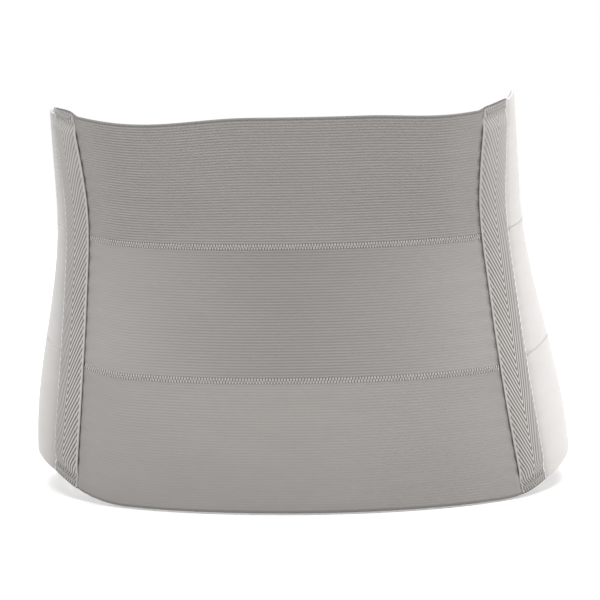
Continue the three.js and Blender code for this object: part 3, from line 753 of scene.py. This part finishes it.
def webbing(name, span, level, part, rib_depth, spacing, radius):
    """One elastic band between the girths span(z), at level 0, 1 or 2 of the back, left or right part."""
    left, right = span(MIDDLE)
    width = right - left
    across, up = np.meshgrid(edged_steps(width, spacing), band_heights())
    along, share = across / width, up / BAND_HEIGHT
    about = lerp(left, right, along)
    top_level = len(LEVELS) - 1
    low = band_line(about, level) + (JOIN_GAP / 2 if level > 0 else 0)
    high = band_line(about, level + 1) - (JOIN_GAP / 2 if level < top_level else 0)
    z = lerp(low, high, share)
    if level == top_level:
        share_from_tape = 1 - along if part == "left" else along
        z = z - WING_DIP[part] * (1 - smoothstep(share_from_tape, 0, 0.25)) * smoothstep(share, 0.7, 1)
    girth = lerp(*span(z), along)
    from_side = np.minimum(across, width - across)
    taut = 1 - smoothstep(from_side, TAUT_END, TAUT_FADE[LEVELS[level]])
    relief = -rib_depth * np.cos(TAU * up / RIB_PITCH) * (1 - 0.7 * taut)
    from_tape = distance_to_tape(girth, z)
    tucked = np.exp(-((from_tape / TUCK_REACH) ** 4))
    shift = pucker(girth, z)
    inner = BAND_INNER + shift * (1 - tucked) - relief * 0.6
    outer = BAND_OUTER + shift + relief - TUCK_DEPTH * tucked
    # Painted shade next to the tape, reaching furthest on the left wing.
    beside_tape = TAPE_SHADE[part] * np.exp(-from_tape / TAPE_SHADE_REACH[part])
    shade = np.maximum(TUCK_SHADE * tucked, beside_tape)
    return cloth(name, (girth, z), (inner, outer), across, up, shade, radius)


def zigzag_steps(strokes, per_stroke):
    """Steps of a zigzag thread: how far along, 0 to 1, and how far up, -1 to 1."""
    t = np.arange(strokes * per_stroke + 1) / per_stroke
    return t / strokes, 1 - np.abs((t % 2) - 1) * 2


def zigzag(name, span, level, radius, sunk):
    """The sewn zigzag over the join below a band, its thread sunk so far into the fabric."""
    start, end = span(MIDDLE)
    along, up_down = zigzag_steps(int((end - start) / (ZIGZAG_PITCH / 2)), 5)
    z = band_line(lerp(start, end, along), level) + up_down * SEAM_HEIGHT / 2
    girth = lerp(*span(z), along)
    lift = BAND_OUTER - sunk + THREAD_BOW * (1 - up_down**4) + pucker(girth, z)
    return threads(name, belt_paths(girth, z, lift)[None], radius)


def build_back():
    for level, name in enumerate(LEVELS):
        band = webbing(f"back_{name}_webbing", back_span(-TUCKED_WIDTH), level, "back",
                       BACK_RIB_DEPTH[name], spacing=3.2, radius=BAND_THICKNESS / 2)
        dress(band, BACK_ELASTIC[name], "back_panel", [f"back_{name}_band"])
    for level, name in SEAMS:
        seam = zigzag(f"back_{name}_zigzag", back_span(BACK_SEAM_INSET), level, radius=0.22, sunk=0.03)
        dress(seam, THREAD["seam"], "back_panel", [f"back_{name}_seam"])


def build_side(side, name):
    hinge_girth = side * tape_girth(MIDDLE, TAPE_WIDTH + SWING_GAP)
    on = bend(f"{name}_side_swing", hinge_girth, SIDE_BEND_REACH, side)
    for level, level_name in enumerate(LEVELS):
        piece = f"{name}_side_{level_name}"
        band = webbing(f"{piece}_webbing", side_span(side, 0), level, name,
                       SIDE_RIB_DEPTH, spacing=3.5, radius=0.1)
        dress(band, SIDE_ELASTIC_PAINTED_LIGHTER, on, [f"{piece}_band"])
    for level, level_name in SEAMS:
        piece = f"{name}_side_{level_name}"
        seam = zigzag(f"{piece}_zigzag", side_span(side, SIDE_SEAM_INSET), level, radius=0.14, sunk=0.2)
        dress(seam, THREAD["side"], on, [f"{piece}_seam"])


# ---- casings ----

def tape_lift(from_middle, up):
    """Lift of the tape's inner face, from_middle mm to either side of its centre line and up mm along it.
    It clears the stay and the stay's end caps, and comes down to the lining at both ends."""
    share = np.abs(from_middle) / (TAPE_WIDTH / 2)
    from_end = np.minimum(up, BELT_HEIGHT - up)
    over_cap = 1 - smoothstep(from_end, CAP_CLEARED, CAP_CLEARED + CAP_SLOPE)
    rise = TAPE_RISE + TAPE_CAP_RISE * over_cap
    raised = smoothstep(from_end, TAPE_FLAT_END, TAPE_ARCH_START)
    return BAND_INNER + (TAPE_EDGE_LIFT + rise * (1 - share**4)) * raised


def tape_height(side, from_inner, up):
    """Height of a place on the tape, so many mm out from its inner edge and up along it."""
    about = side * tape_girth(MIDDLE, from_inner)
    corner = smoothstep(from_inner / TAPE_WIDTH, 0.2, 1)
    corner = corner * smoothstep(up, BELT_HEIGHT - CORNER_LENGTH, BELT_HEIGHT)
    return lerp(bottom_edge(about), top_edge(about), up / BELT_HEIGHT) - by_side(CORNER_DROP, side) * corner


def herringbone_tape(side, name):
    from_inner, up = np.meshgrid(edged_steps(TAPE_WIDTH, 0.42), edged_steps(BELT_HEIGHT, 0.75))
    if side < 0:
        from_inner = from_inner[:, ::-1]
    z = tape_height(side, from_inner, up)
    from_middle = from_inner - TAPE_WIDTH / 2
    from_side = TAPE_WIDTH / 2 - np.abs(from_middle)
    from_end = np.minimum(up, BELT_HEIGHT - up)
    slope = up - TWILL_STEEPNESS * np.abs(from_middle)
    twill = TWILL_DEPTH / 2 * np.cos(TAU * slope / TWILL_PITCH)
    selvage = 1 - smoothstep(from_side, SELVAGE_WIDTH - 0.4, SELVAGE_WIDTH + 0.2)
    groove = np.exp(-(((from_side - STITCH_INSET) / 0.6) ** 2))
    gathered = 0.5 + 0.5 * np.cos(TAU * up / STITCH_PITCH)
    relief = twill * (1 - selvage) + 0.15 * selvage - 0.2 * groove * (0.4 + 0.6 * gathered)
    fold = 1 - smoothstep(from_end, FOLD_LENGTH - 0.8, FOLD_LENGTH)
    inner = tape_lift(from_middle, up)
    outer = inner + TAPE_THICKNESS + relief + 0.7 * fold
    # Painted shade: a dark line along the tape's two ends, and the folded ends a little darker.
    rim = 0.9 * np.exp(-((from_end / 1.1) ** 4))
    shade = np.maximum(0.1 * fold, rim)
    place = (side * tape_girth(z, from_inner), z)
    tape = cloth(f"{name}_herringbone_tape", place, (inner, outer), from_inner, up, shade)
    dress(tape, HERRINGBONE, "back_panel", [f"{name}_casing_tape"])


def tape_stitches(side, name):
    """A row of straight stitches along each long edge of the tape."""
    starts = np.arange(FOLD_LENGTH, BELT_HEIGHT - FOLD_LENGTH - STITCH_LENGTH, STITCH_PITCH)
    t = np.linspace(0, 1, 7)
    up = starts[:, None] + (STITCH_PITCH - STITCH_LENGTH) / 2 + STITCH_LENGTH * t
    bow = 0.3 * np.sin(math.pi * t) - 0.32
    paths = []
    for inset in (STITCH_INSET, TAPE_WIDTH - STITCH_INSET):
        z = tape_height(side, inset, up)
        lift = tape_lift(inset - TAPE_WIDTH / 2, up) + TAPE_THICKNESS + bow
        paths.append(belt_paths(side * tape_girth(z, inset), z, lift))
    stitches = threads(f"{name}_tape_stitches", np.concatenate(paths), 0.17)
    dress(stitches, THREAD["tape"], "back_panel")


def bar_tack(side, name, place, bottom):
    """Dense zigzag across a folded end of the tape, above the line bottom(girth)."""
    along, up_down = zigzag_steps(TACK_STROKES, 4)
    from_inner = TAPE_WIDTH / 2 + BAR_TACK_WIDTH * (along - 0.5)
    z = bottom(side * tape_girth(MIDDLE, from_inner)) + BAR_TACK_HEIGHT / 2 * (1 + up_down)
    lift = BAND_INNER + TAPE_THICKNESS + TACK_LIFT + THREAD_BOW * (1 - up_down**4)
    path = belt_paths(side * tape_girth(z, from_inner), z, lift)
    tack = threads(f"{name}_{place}_tack", path[None], 0.24)
    dress(tack, THREAD["tack"], "back_panel", [f"{name}_{place}_bar_tack"])


def casing_lining(side, name):
    height = BELT_HEIGHT - 2 * LINING_INSET
    across, up = np.meshgrid(edged_steps(LINING_WIDTH, 1.0), edged_steps(height, 3.0))
    from_middle = across - LINING_WIDTH / 2
    about = side * tape_girth(MIDDLE, TAPE_WIDTH / 2) + from_middle
    z = lerp(bottom_edge(about) + LINING_INSET, top_edge(about) - LINING_INSET, up / height)
    girth = side * tape_girth(z, TAPE_WIDTH / 2) + from_middle
    quilted = 0.1 + 0.06 * np.cos(TAU * up / 6) * np.cos(from_middle) ** 2
    lining = cloth(f"{name}_soft_lining", (girth, z), (quilted, LINING_THICKNESS), across, up)
    dress(lining, LINING_CLOTH, "back_panel", [f"{name}_casing_lining"])


def build_casing(side, name):
    herringbone_tape(side, name)
    tape_stitches(side, name)
    bar_tack(side, name, "top", lambda g: top_edge(g) - BAR_TACK_INSET - BAR_TACK_HEIGHT)
    bar_tack(side, name, "bottom", lambda g: bottom_edge(g) + BAR_TACK_INSET)
    casing_lining(side, name)
    set_material(frame["nodes"][f"{name}_stay"], STAY_STEEL)
    for end in ("top", "bottom"):
        set_material(frame["nodes"][f"{name}_stay_{end}_cap"], CAP_PLASTIC)


# ---- front panels ----

def front_seam_reach(z):
    return half_girth(z) - front_seam_girth(z) - JOIN_GAP / 2


def panel_top(along):
    return lerp(top_edge(FRONT_SEAM), CLOSURE_TOP, smoothstep(along, 0, PANEL_TAPER_SHARE))


def panel_bottom(along):
    return lerp(0, CLOSURE_BOTTOM, smoothstep(along, 1 - PANEL_TAPER_SHARE, 1))


SEAM_REACH = front_seam_reach((CLOSURE_TOP + CLOSURE_BOTTOM) / 2)
PANEL_CLOTH_HEIGHT = 190.0  # between its heights at the seam and at the closure
LOOSE_START = 0.01  # the join tape starts this share of the panel from its seam


class FrontPanel:
    """Places on a front panel. along runs from 0 at its seam to 1 at its end."""

    def __init__(self, side, name, end):
        self.side, self.name, self.end = side, name, end
        self.length = SEAM_REACH - end
        self.tape_share = JOIN_TAPE_WIDTH / self.length
        self.on = bend(f"{name}_front_swing", side * front_seam_girth(MIDDLE), FRONT_BEND_REACH, side)

    def girth(self, along, z):
        return half_girth(z) - self.side * lerp(front_seam_reach(z), self.end, along)

    def place(self, along, share, inset=0.0):
        z = lerp(panel_bottom(along) + inset, panel_top(along) - inset, share)
        return self.girth(along, z), z

    def lift(self, along):
        """Lift of the inner face. The right panel rises over the left one."""
        if self.side < 0:
            return BAND_INNER
        from_middle = lerp(SEAM_REACH, RIGHT_PANEL_END, along)
        rise = 1 - smoothstep(from_middle, OVERLAP_LIFT_END, OVERLAP_LIFT_START)
        return lerp(BAND_INNER, TAB_INNER, rise)

    def patch(self, name, near, far, inset, below, above, spacing, relief=None):
        """A cloth patch between shares near and far of the panel, from below to above its inner face."""
        width = (far - near) * self.length
        height = PANEL_CLOTH_HEIGHT - 2 * inset
        across, up = cloth_grid(width, height, spacing)
        share = across / width
        along = lerp(near, far, share if self.side > 0 else 1 - share)
        inner = self.lift(along) + below
        outer = self.lift(along) + above + (relief(across, up) if relief else 0.0)
        return cloth(name, self.place(along, up / height, inset), (inner, outer), across, up)


def pile_relief(across, _up):
    rng = np.random.default_rng(7)
    return rng.uniform(-0.12, 0.12, across.shape)


def velour_relief(across, up):
    return 0.06 * np.sin(across / 2.3 + 1.5 * np.sin(up / 3.1)) * np.sin(up / 2.7 + np.sin(across / 4.1))


def overlock(panel, place, near, far):
    """Thread loops over the top or bottom edge of a panel, from face to face."""
    count = int((far - near) * panel.length / OVERLOCK_PITCH)
    along = lerp(near, far, (np.arange(count) + 0.5) / count)[:, None]
    inward = np.array([3.4, 1.6, 0.2, -0.2, 0.2, 1.8, 3.4])
    face = np.array([1, 1, 0.8, 0, -0.8, -1, -1])
    proud = np.array([0.12, 0.22, 0.1, 0, -0.1, -0.2, -0.1])
    slant = np.linspace(-0.5, 0.5, 7) * OVERLOCK_PITCH / panel.length
    z = panel_top(along) - inward if place == "top" else panel_bottom(along) + inward
    lift = panel.lift(along) + PANEL_THICKNESS / 2 * (1 + face) + proud
    paths = belt_paths(panel.girth(along + slant, z), z, lift)
    return threads(f"{panel.name}_front_{place}_overlock", paths, 0.2, sides=5)


def join_stitches(panel, above):
    """A row of straight stitches up each edge of the join tape."""
    starts = np.arange(5, PANEL_CLOTH_HEIGHT - 7, STITCH_PITCH)
    t = np.linspace(0, 1, 6)
    share = (starts[:, None] + STITCH_LENGTH * t) / PANEL_CLOTH_HEIGHT
    inset = 2 / panel.length
    paths = []
    for along in (LOOSE_START + inset, panel.tape_share - inset):
        lift = panel.lift(along) + above + 0.25 * np.sin(math.pi * t) - 0.08
        paths.append(belt_paths(*panel.place(along, share), lift))
    return threads(f"{panel.name}_join_stitches", np.concatenate(paths), 0.2)


def build_front(panel):
    name = panel.name
    face = panel.patch(f"{name}_front_velour", 0, 1, 0, 0, PANEL_THICKNESS, 1.6, velour_relief)
    dress(face, VELOUR, panel.on, [f"{name}_front_panel"])
    below = PANEL_THICKNESS + 0.15
    above = below + TAPE_THICKNESS
    tape = panel.patch(f"{name}_join_tape_twill", LOOSE_START, panel.tape_share, 1, below, above, 1.0)
    dress(tape, JOIN_TWILL, panel.on, [f"{name}_join_tape"])
    dress(join_stitches(panel, above), THREAD["seam"], panel.on)
    for place in ("top", "bottom"):
        edge = overlock(panel, place, panel.tape_share + 0.02, 0.9)
        dress(edge, THREAD["seam"], panel.on)


def binding_profile(half, wrap):
    """Section of a folded tape over an edge that is 2 x half thick: points (distance inward, lift)."""
    full = half + BINDING_THICKNESS
    rim = half + BINDING_THICKNESS * 0.6
    turn = np.radians(np.linspace(-90, 90, 9))
    outside = [(wrap, rim), (wrap - 0.5, full), *zip(-full * np.cos(turn) * 0.5, -full * np.sin(turn)),
               (wrap - 0.5, -full), (wrap, -rim)]
    inside = [(wrap, -half), (1.0, -half), (0.3, -half * 0.6), (0.15, 0), (0.3, half * 0.6), (1.0, half),
              (wrap, half)]
    return np.array(outside + inside)


def binding(name, outline, inward, inner, outer, wrap):
    """A folded tape over an edge. outline is steps x (girth, height), and inward its unit directions, which
    point left of the way that the outline runs."""
    profile = binding_profile((outer - inner) / 2 + 0.15, wrap)
    flat = outline[:, None, :] + inward[:, None, :] * profile[None, :, :1]
    lift = np.broadcast_to((inner + outer) / 2 + profile[:, 1], flat.shape[:2])
    points = skin(flat[..., 0], flat[..., 1], lift).reshape(-1, 3)
    across, up = np.meshgrid(profile[:, 0] + 3 * profile[:, 1], walked_length(outline))
    grain = np.stack([across, up, np.full_like(up, 9)], -1).reshape(-1, 3)
    index = np.arange(len(points)).reshape(flat.shape[:2])
    return add_mesh(name, points, ring_quads(index), grain, fans=[index[0, ::-1], index[-1]])


def build_left_front():
    panel = FrontPanel(-1, "left", LEFT_PANEL_END)
    build_front(panel)
    below = PANEL_THICKNESS + 0.1
    above = PANEL_THICKNESS + GAP + PAD_THICKNESS
    near = panel.tape_share + 0.02
    far = 1 - (BINDING_WRAP + 2) / panel.length - 0.01
    pad = panel.patch("left_loop_pile", near, far, 8, below, above, 1.3, pile_relief)
    dress(pad, LOOP_PILE, panel.on, ["left_loop_pad"])
    down = np.linspace(1, 0, 60)
    outline = np.stack(panel.place(1.0, down, inset=1.0), -1)
    inward = np.tile([1.0, 0.0], (len(down), 1))
    outer = BAND_INNER + PANEL_THICKNESS
    edge = binding("left_end_binding_tape", outline, inward, BAND_INNER, outer, BINDING_WRAP)
    dress(edge, BINDING_TWILL, "left_front", ["left_end_binding"])


# ---- closure tab ----

TAB_HEIGHT = CLOSURE_TOP - CLOSURE_BOTTOM
TAB_CORNER_SHARE = 0.3  # of half the tab's height
TAB_BINDING_START = 4.0
HOOK_SPACING, HOOK_MARGIN = 2.3, 11.0


def tab_tip(share, margin):
    """How far out the tab reaches at a share of its height, and margin mm more."""
    towards_edge = np.abs(2 * share - 1)
    round_off = np.maximum(0, (towards_edge - 1 + TAB_CORNER_SHARE) / TAB_CORNER_SHARE)
    return TAB_LENGTH + margin - TAB_CORNER * (1 - np.sqrt(np.maximum(0, 1 - round_off**2)))


def tab_place(along, share, margin):
    narrow = TAB_NARROWING * along / TAB_LENGTH
    z = lerp(CLOSURE_BOTTOM + narrow - margin, CLOSURE_TOP - narrow + margin, share)
    return half_girth(z) - RIGHT_PANEL_END + SWING_GAP + along, z


def tab_patch(name, start, margin, inner, outer, spacing, relief=None):
    """A cloth patch on the tab, from start mm out from its root to margin mm past its edges."""
    width = TAB_LENGTH + margin - start
    height = TAB_HEIGHT + 2 * margin
    across, up = cloth_grid(width, height, spacing)
    share = up / height
    along = lerp(start, tab_tip(share, margin), across / width)
    lifts = (inner, outer + (relief(across, up) if relief else 0.0))
    return cloth(name, tab_place(along, share, margin), lifts, across, up)


def tab_outline():
    """Points round the tab's edge, root to root, and their inward directions."""
    tip_share = np.linspace(0, 1, 150)
    tip = tab_tip(tip_share, 0.0)
    side = np.linspace(TAB_BINDING_START, tip[0], 24)[:-1]
    along = np.concatenate([side, tip, side[::-1]])
    share = np.concatenate([np.zeros(len(side)), tip_share, np.ones(len(side))])
    points = np.stack(tab_place(along, share, 0.0), -1)
    walked = walked_length(points)
    even = np.linspace(0, walked[-1], 220)
    points = np.stack([np.interp(even, walked, points[:, k]) for k in (0, 1)], -1)
    ahead = np.gradient(points, axis=0)
    ahead /= np.linalg.norm(ahead, axis=1, keepdims=True)
    return points, np.stack([-ahead[:, 1], ahead[:, 0]], -1)


def closure_hooks():
    """Small moulded hooks on the inner face of the tab, pointing at the loop pad."""
    columns = np.arange(HOOK_MARGIN, TAB_LENGTH - HOOK_MARGIN - 1, HOOK_SPACING)
    along, up = np.meshgrid(columns, np.arange(14, TAB_HEIGHT - 14, HOOK_SPACING))
    along = (along + np.round(up / HOOK_SPACING) % 2 * HOOK_SPACING / 2).ravel()
    share = up.ravel() / TAB_HEIGHT
    keep = along < tab_tip(share, 0) - HOOK_MARGIN
    girth, z = tab_place(along[keep], share[keep], 0)
    reach = np.array([0, 0, 0.25, 0.6, 0.7])
    drop = np.array([0.0, 0.3, 0.48, 0.42, 0.25])
    paths = belt_paths(girth[:, None] + reach, z[:, None], HOOK_INNER - drop)
    return threads("closure_hooks", paths, 0.13, sides=5, flatten=1.0)


def build_tab():
    on = bend("closure_tab_peel", half_girth(MIDDLE) - RIGHT_PANEL_END, TAB_BEND_REACH, 1)
    base = tab_patch("closure_tab_velour", 0, -BINDING_THICKNESS, TAB_INNER, TAB_OUTER, 1.6, velour_relief)
    dress(base, VELOUR, on, ["closure_tab_base"])
    hook_outer = HOOK_INNER + HOOK_THICKNESS
    sheet = tab_patch("closure_hook_sheet", BINDING_WRAP, -BINDING_WRAP - 2, HOOK_INNER, hook_outer, 2.0)
    dress(sheet, HOOK_PLASTIC, on, ["closure_hook_pad"])
    dress(closure_hooks(), HOOK_PLASTIC, on)
    outline, inward = tab_outline()
    edge = binding("closure_binding_tape", outline, inward, TAB_INNER, TAB_OUTER, BINDING_WRAP - 0.5)
    dress(edge, BINDING_TWILL, on, ["closure_binding"])


# ---- floor, light and camera ----

FLOOR_RADIUS, FLOOR_Z = 1.4, -0.0009
SKY_LIGHT = 0.45  # the sky lights the belt with this strength, and looks white to the camera
SOFTBOXES = {  # azimuth, elevation, distance and size in metres, watts
    "right_softbox": (112, 12, 2.2, 1.2, 17),
    "left_softbox": (-60, 25, 2.5, 1.6, 4),
    "top_softbox": (0, 88, 2.4, 2.8, 105),
}
PHOTO_AZIMUTH, PHOTO_ELEVATION, PHOTO_ROLL = 3.2, 7.9, 1.0
PHOTO_DISTANCE, PHOTO_LENS = 2.3, 216.7
AIM = Vector((0, 0, MIDDLE * MM))
AIM_LEFT, AIM_DOWN = 1.4 * MM, 6.1 * MM  # the middle of the picture lies this far from the aim


def direction(azimuth, elevation):
    """Unit vector away from the belt. Azimuth 0 is out from the back panel, 90 from the right."""
    a, e = math.radians(azimuth), math.radians(elevation)
    return Vector((math.sin(a) * math.cos(e), -math.cos(a) * math.cos(e), math.sin(e)))


def build_floor():
    bpy.ops.mesh.primitive_circle_add(
        vertices=96, radius=FLOOR_RADIUS, fill_type="NGON", location=(0, 0, FLOOR_Z))
    floor = bpy.context.object
    floor.name = "floor"
    floor.data.materials.append(Shader("floor", roughness=0.9).finish(grey(246, 246, 246)))


def add_looking(name, data, location, away, roll=0.0):
    """A light or camera that looks against the direction away."""
    obj = bpy.data.objects.new(name, data)
    obj.location = location
    obj.rotation_mode = "QUATERNION"
    obj.rotation_quaternion = away.to_track_quat("Z", "Y") @ Quaternion((0, 0, 1), -math.radians(roll))
    bpy.context.scene.collection.objects.link(obj)
    return obj


def softbox(name, azimuth, elevation, distance, size, watts):
    data = bpy.data.lights.new(name, "AREA")
    data.shape = "DISK"
    data.size = size
    data.energy = watts
    away = direction(azimuth, elevation)
    add_looking(name, data, AIM + away * distance, away).visible_camera = False


def build_light():
    world = bpy.data.worlds.new("studio")
    world.use_nodes = True
    tree = world.node_tree
    sky = tree.nodes["Background"]
    sky.inputs["Color"].default_value = (1, 1, 1, 1)
    path = tree.nodes.new("ShaderNodeLightPath")
    strength = tree.nodes.new("ShaderNodeMapRange")
    strength.inputs["To Min"].default_value = SKY_LIGHT
    tree.links.new(path.outputs["Is Camera Ray"], strength.inputs["Value"])
    tree.links.new(strength.outputs[0], sky.inputs["Strength"])
    bpy.context.scene.world = world
    bpy.context.scene.view_settings.view_transform = "Standard"
    for name, settings in SOFTBOXES.items():
        softbox(name, *settings)


def build_camera():
    back = direction(PHOTO_AZIMUTH, PHOTO_ELEVATION)
    right = direction(PHOTO_AZIMUTH + 90, 0)
    up = back.cross(right)
    data = bpy.data.cameras.new("camera")
    data.lens = PHOTO_LENS
    location = AIM - right * AIM_LEFT - up * AIM_DOWN + back * PHOTO_DISTANCE
    bpy.context.scene.camera = add_looking("camera", data, location, back, PHOTO_ROLL)


build_back()
for side, name in ((1, "right"), (-1, "left")):
    build_side(side, name)
    build_casing(side, name)
build_left_front()
build_front(FrontPanel(1, "right", RIGHT_PANEL_END))
build_tab()
build_floor()
build_light()
build_camera()
